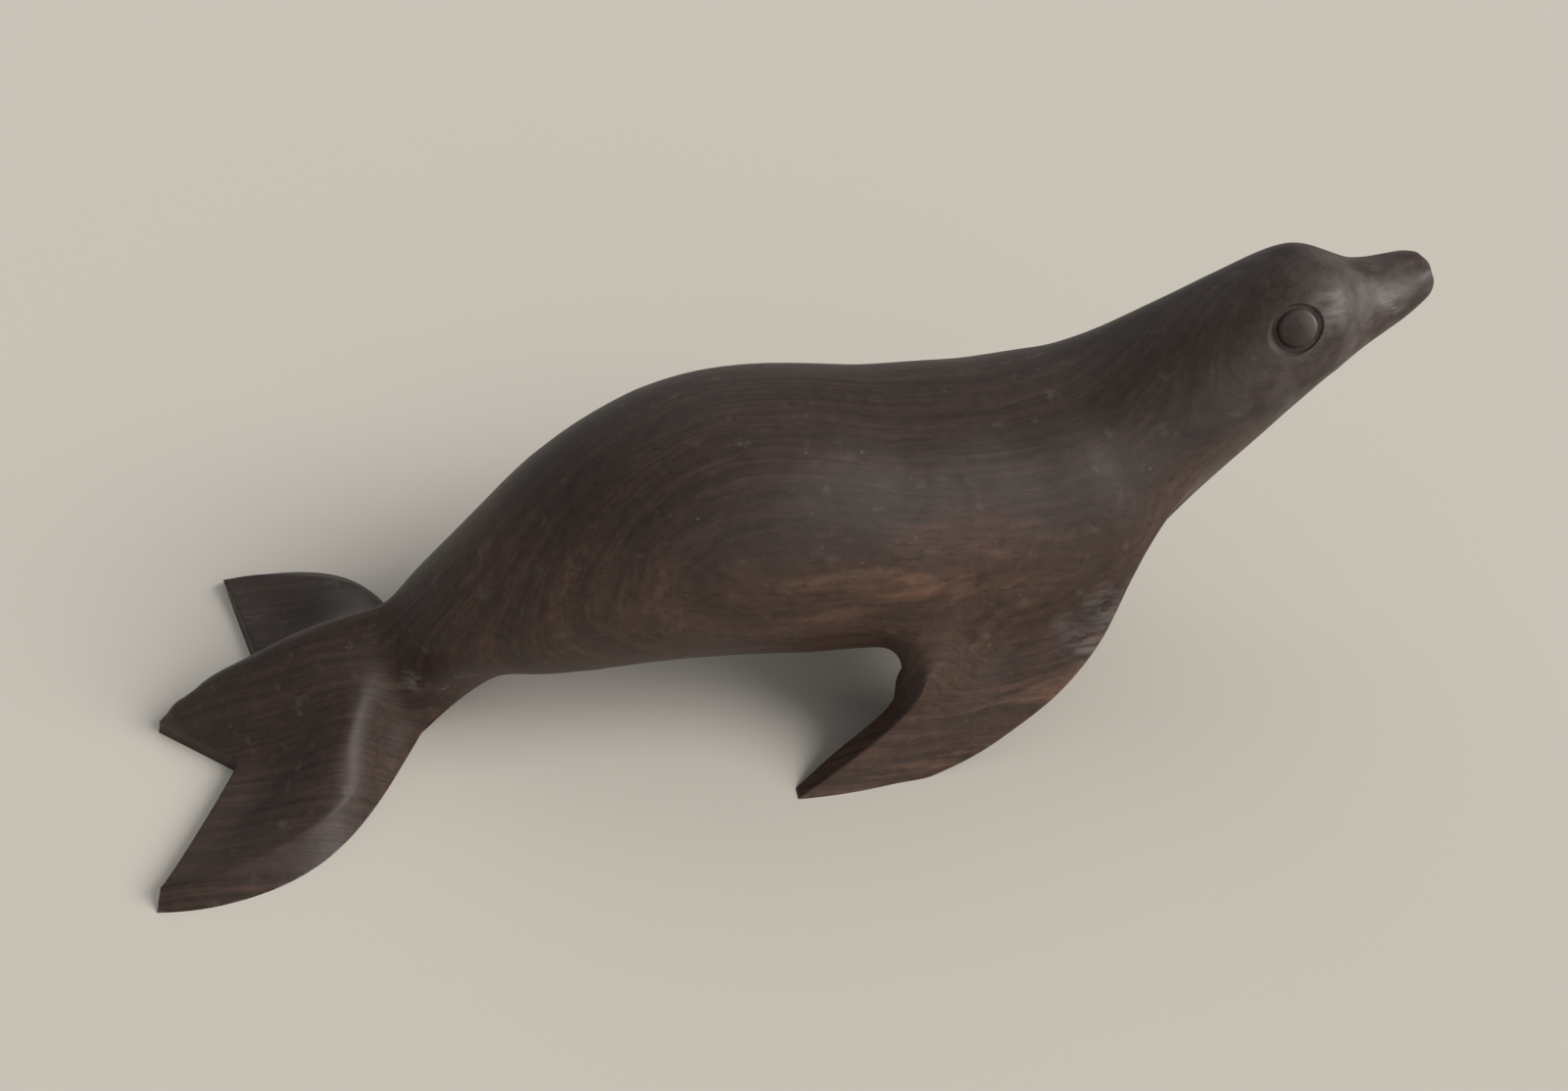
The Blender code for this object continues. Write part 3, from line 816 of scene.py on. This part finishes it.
class Graph:
    """Builds a material's nodes. An input is given as a value or as another node's output."""

    def __init__(self, name):
        self.material = bpy.data.materials.new(name)
        self.material.use_nodes = True
        self.tree = self.material.node_tree
        self.shader = self.tree.nodes["Principled BSDF"]

    def feed(self, node, inputs):
        for name, value in inputs.items():
            if isinstance(value, bpy.types.NodeSocket):
                self.tree.links.new(value, node.inputs[name])
            else:
                node.inputs[name].default_value = value

    def add(self, kind, inputs, **settings):
        node = self.tree.nodes.new(kind)
        for name, value in settings.items():
            setattr(node, name, value)
        self.feed(node, inputs)
        return node

    def maths(self, operation, *values):
        return self.add("ShaderNodeMath", dict(enumerate(values)), operation=operation).outputs[0]

    def times(self, first, second):
        return self.maths("MULTIPLY", first, second)

    def vector_maths(self, operation, first, second):
        return self.add("ShaderNodeVectorMath", {0: first, 1: second}, operation=operation)

    def parts(self, vector):
        return self.add("ShaderNodeSeparateXYZ", {"Vector": vector}).outputs

    def noise(self, vector, scale, detail=2.0, roughness=0.5):
        inputs = {"Vector": vector, "Scale": scale, "Detail": detail, "Roughness": roughness}
        return self.add("ShaderNodeTexNoise", inputs).outputs

    def ramp(self, value, stops):
        node = self.add("ShaderNodeValToRGB", {"Fac": value})
        points = node.color_ramp.elements
        while len(points) < len(stops):
            points.new(1.0)
        for point, (place, colour) in zip(points, stops):
            point.position = place
            point.color = (*colour, 1.0)
        return node.outputs["Color"]

    def band(self, value, low, high):
        """0 at low and 1 at high, smooth between them."""
        inputs = {"Value": value, "From Min": low, "From Max": high}
        return self.add("ShaderNodeMapRange", inputs, interpolation_type="SMOOTHSTEP").outputs["Result"]

    def patches(self, vector, noise, band):
        """The patches where a noise passes through its band."""
        return self.band(self.noise(vector, *noise)["Fac"], *band)

    def mix(self, factor, first, second, blend="MIX"):
        node = self.add("ShaderNodeMix", {0: factor}, data_type="RGBA", blend_type=blend)
        self.feed(node, {6: first, 7: second})
        return node.outputs[2]

    def cover(self, colour, amount, share, paint):
        """The colour with that share of a paint over it, where the amount is 1."""
        return self.mix(self.times(amount, share), colour, paint)


def shaken(graph, place, scale, reach):
    """The place moved by up to about half the reach each way, by noise of that scale."""
    colour = graph.noise(place, scale)["Color"]
    shift = graph.vector_maths("SUBTRACT", colour, NOISE_MIDDLE).outputs["Vector"]
    shift = graph.vector_maths("MULTIPLY", shift, (reach, reach, reach)).outputs["Vector"]
    return graph.vector_maths("ADD", place, shift).outputs["Vector"]


def round_the_pith(graph, layered):
    """How far a place lies along the pith, out from it and above it."""
    parts = graph.parts(layered)
    across = graph.times(parts["Y"], parts["Y"])
    upwards = graph.times(parts["Z"], parts["Z"])
    depth = graph.maths("SQRT", graph.maths("ADD", across, upwards))
    return parts["X"], depth, parts["Z"]


def grain(graph, layers, stretch):
    """Noise drawn out along the grain: stretch is its scale along, through and round the growth layers."""
    inputs = {}
    for axis, way, scale in zip("XYZ", layers, stretch):
        inputs[axis] = graph.times(way, scale)
    place = graph.add("ShaderNodeCombineXYZ", inputs).outputs["Vector"]
    return graph.noise(place, *GRAIN_NOISE)["Fac"]


def dark_back(graph, parts):
    """1 on the dark back and on the tail, and 0 on the browner flank and belly."""
    line = graph.maths("MULTIPLY_ADD", parts["X"], BROWN_LINE_SLOPE, BROWN_LINE_HEIGHT)
    above = graph.maths("SUBTRACT", parts["Z"], line)
    back = graph.band(above, -BROWN_LINE_WIDTH, BROWN_LINE_WIDTH)
    return graph.maths("MAXIMUM", back, graph.band(parts["X"], BROWN_TO, BROWN_FROM))


def grown_colour(graph, bent, layered, layers, rings):
    """The wood's own colours: growth layers, reddish patches and golden streaks."""
    parts = graph.parts(bent)
    back = dark_back(graph, parts)
    colour = graph.mix(back, graph.ramp(rings, BROWN_COLOURS), graph.ramp(rings, DARK_COLOURS))
    red = graph.times(graph.patches(layered, RED_NOISE, RED_BAND), graph.band(back, *RED_BACK_BAND))
    colour = graph.cover(colour, red, RED_SHARE, RED_COLOUR)
    streaks = graph.band(grain(graph, layers, STREAKS), *GOLD_BAND)
    gold = graph.times(streaks, graph.band(back, *GOLD_BACK_BAND))
    chest = graph.band(parts["X"], *CHEST_BAND)
    share = graph.maths("MULTIPLY_ADD", chest, CHEST_GOLD_SHARE, GOLD_SHARE)
    return graph.cover(colour, gold, share, GOLD_COLOUR)


def finely_marked(graph, colour, place, layers, lines):
    """The colour with the fibres' lines, the mottle and the pores."""
    colour = graph.mix(1.0, colour, graph.ramp(lines, FIBRE_TINTS), "MULTIPLY")
    mottle = graph.ramp(graph.noise(place, *MOTTLE_NOISE)["Fac"], MOTTLE_TINTS)
    colour = graph.mix(1.0, colour, mottle, "MULTIPLY")
    pores = graph.band(grain(graph, layers, PORES), *PORE_BAND)
    return graph.cover(colour, pores, PORE_SHARE, PORE_COLOUR)


def dusty(graph, colour, place):
    """The colour with pale specks and dust."""
    cells = graph.add("ShaderNodeTexVoronoi", {"Vector": place, "Scale": SPECK_CELLS}).outputs
    chosen = graph.add("ShaderNodeSeparateColor", {"Color": cells["Color"]}).outputs[0]
    specks = graph.times(graph.band(cells["Distance"], *SPECK_BAND), graph.band(chosen, *SPECK_CHOICE))
    colour = graph.cover(colour, specks, SPECK_SHARE, SPECK_COLOUR)
    dust = graph.patches(place, DUST_NOISE, DUST_BAND)
    return graph.cover(colour, dust, DUST_SHARE, SPECK_COLOUR)


def worn_and_highlit(graph, colour, place):
    """The colour with edge wear, a painted sheen on the head, rubbed places and painted highlights."""
    turning = graph.add("ShaderNodeNewGeometry", {}).outputs["Pointiness"]
    edges = graph.times(graph.band(turning, *EDGE_BAND), graph.patches(place, WORN_NOISE, WORN_BAND))
    colour = graph.cover(colour, edges, WORN_SHARE, WEAR_AND_SHEEN_COLOUR)
    # Painted sheen: the head is made lighter and greyer in patches.
    head = graph.band(graph.parts(place)["X"], *HEAD_BAND)
    head_sheen = graph.times(head, graph.patches(place, HEAD_SHEEN_NOISE, HEAD_SHEEN_BAND))
    colour = graph.cover(colour, head_sheen, HEAD_SHEEN_SHARE, WEAR_AND_SHEEN_COLOUR)
    stretched = graph.add("ShaderNodeMapping", {"Vector": place, "Scale": SCRATCH_STRETCH}).outputs["Vector"]
    scratches = graph.patches(stretched, SCRATCH_NOISE, SCRATCH_BAND)
    # Rubbed places, and painted highlights beside the eye and on the snout.
    for middle, reach in SCUFFS_AND_HIGHLIGHTS:
        away = graph.vector_maths("DISTANCE", place, middle).outputs["Value"]
        scuff_and_highlight = graph.times(graph.band(away, reach, 0.0), scratches)
        colour = graph.cover(colour, scuff_and_highlight, SCUFF_AND_HIGHLIGHT_SHARE, WEAR_AND_SHEEN_COLOUR)
    return colour


def oiled_wood():
    graph = Graph("oiled_dark_hardwood")
    place = graph.add("ShaderNodeTexCoord", {}).outputs["Object"]
    bent = shaken(graph, place, BEND_SCALE, BEND)
    bent = shaken(graph, bent, RIPPLE_SCALE, RIPPLE)
    turn = [math.radians(angle) for angle in PITH_TURN]
    inputs = {"Vector": bent, "Location": PITH, "Rotation": turn}
    layered = graph.add("ShaderNodeMapping", inputs, vector_type="TEXTURE").outputs["Vector"]
    layers = round_the_pith(graph, layered)
    rings = grain(graph, layers, LAYERS)
    lines = grain(graph, layers, FIBRES)

    colour = grown_colour(graph, bent, layered, layers, rings)
    colour = finely_marked(graph, colour, place, layers, lines)
    colour = dusty(graph, colour, place)
    colour = worn_and_highlit(graph, colour, place)

    sheen = graph.noise(place, *SHEEN_NOISE)["Fac"]
    inputs = {"Value": sheen, "To Min": LEAST_ROUGHNESS, "To Max": MOST_ROUGHNESS}
    roughness = graph.add("ShaderNodeMapRange", inputs).outputs["Result"]
    relief = graph.maths("ADD", graph.times(lines, RELIEF_SHARE), graph.times(rings, RELIEF_SHARE))
    inputs = {"Height": relief, "Strength": RELIEF_STRENGTH, "Distance": RELIEF_DEPTH}
    normal = graph.add("ShaderNodeBump", inputs).outputs["Normal"]
    graph.feed(graph.shader, {"Base Color": colour, "Roughness": roughness, "Normal": normal})
    graph.shader.inputs["Specular IOR Level"].default_value = SPECULAR
    return graph.material


def floor():
    half = FLOOR_HALF_WIDTH
    mesh = bpy.data.meshes.new("floor")
    corners = [(-half, -half, 0), (half, -half, 0), (half, half, 0), (-half, half, 0)]
    mesh.from_pydata(corners, [], [(0, 1, 2, 3)])
    graph = Graph("pale_floor")
    graph.feed(graph.shader, {"Base Color": FLOOR_COLOUR, "Roughness": FLOOR_ROUGHNESS})
    mesh.materials.append(graph.material)
    plane = link(bpy.data.objects.new("floor", mesh))


def lights():
    world = bpy.data.worlds.new("studio")
    world.use_nodes = True
    sky = world.node_tree.nodes["Background"]
    sky.inputs["Color"].default_value = WORLD_COLOUR
    sky.inputs["Strength"].default_value = WORLD_STRENGTH
    bpy.context.scene.world = world
    for name, place, spread, strength, tint in LIGHTS:
        lamp = bpy.data.lights.new(name, "SUN")
        lamp.energy = strength
        lamp.angle = math.radians(spread)
        lamp.color = tint
        light = link(bpy.data.objects.new(name, lamp))
        light.location = place
        light.rotation_euler = (-light.location).to_track_quat("-Z", "Y").to_euler()


def camera():
    azimuth = math.radians(CAMERA_AZIMUTH)
    elevation = math.radians(CAMERA_ELEVATION)
    level = math.cos(elevation)
    ahead = Vector((math.sin(azimuth) * level, math.cos(azimuth) * level, -math.sin(elevation)))
    lens = bpy.data.cameras.new("camera")
    lens.lens = CAMERA_LENS
    lens.sensor_width = CAMERA_SENSOR
    lens.clip_start = CAMERA_NEAREST
    eye = link(bpy.data.objects.new("camera", lens))
    eye.location = (cad_box[0][0] + CAMERA_FROM_TAIL, CAMERA_SIDE, CAMERA_HEIGHT)
    eye.rotation_euler = ahead.to_track_quat("-Z", "Y").to_euler()
    bpy.context.scene.camera = eye


carved_seal()
floor()
lights()
camera()
bpy.context.scene.view_settings.view_transform = "Standard"
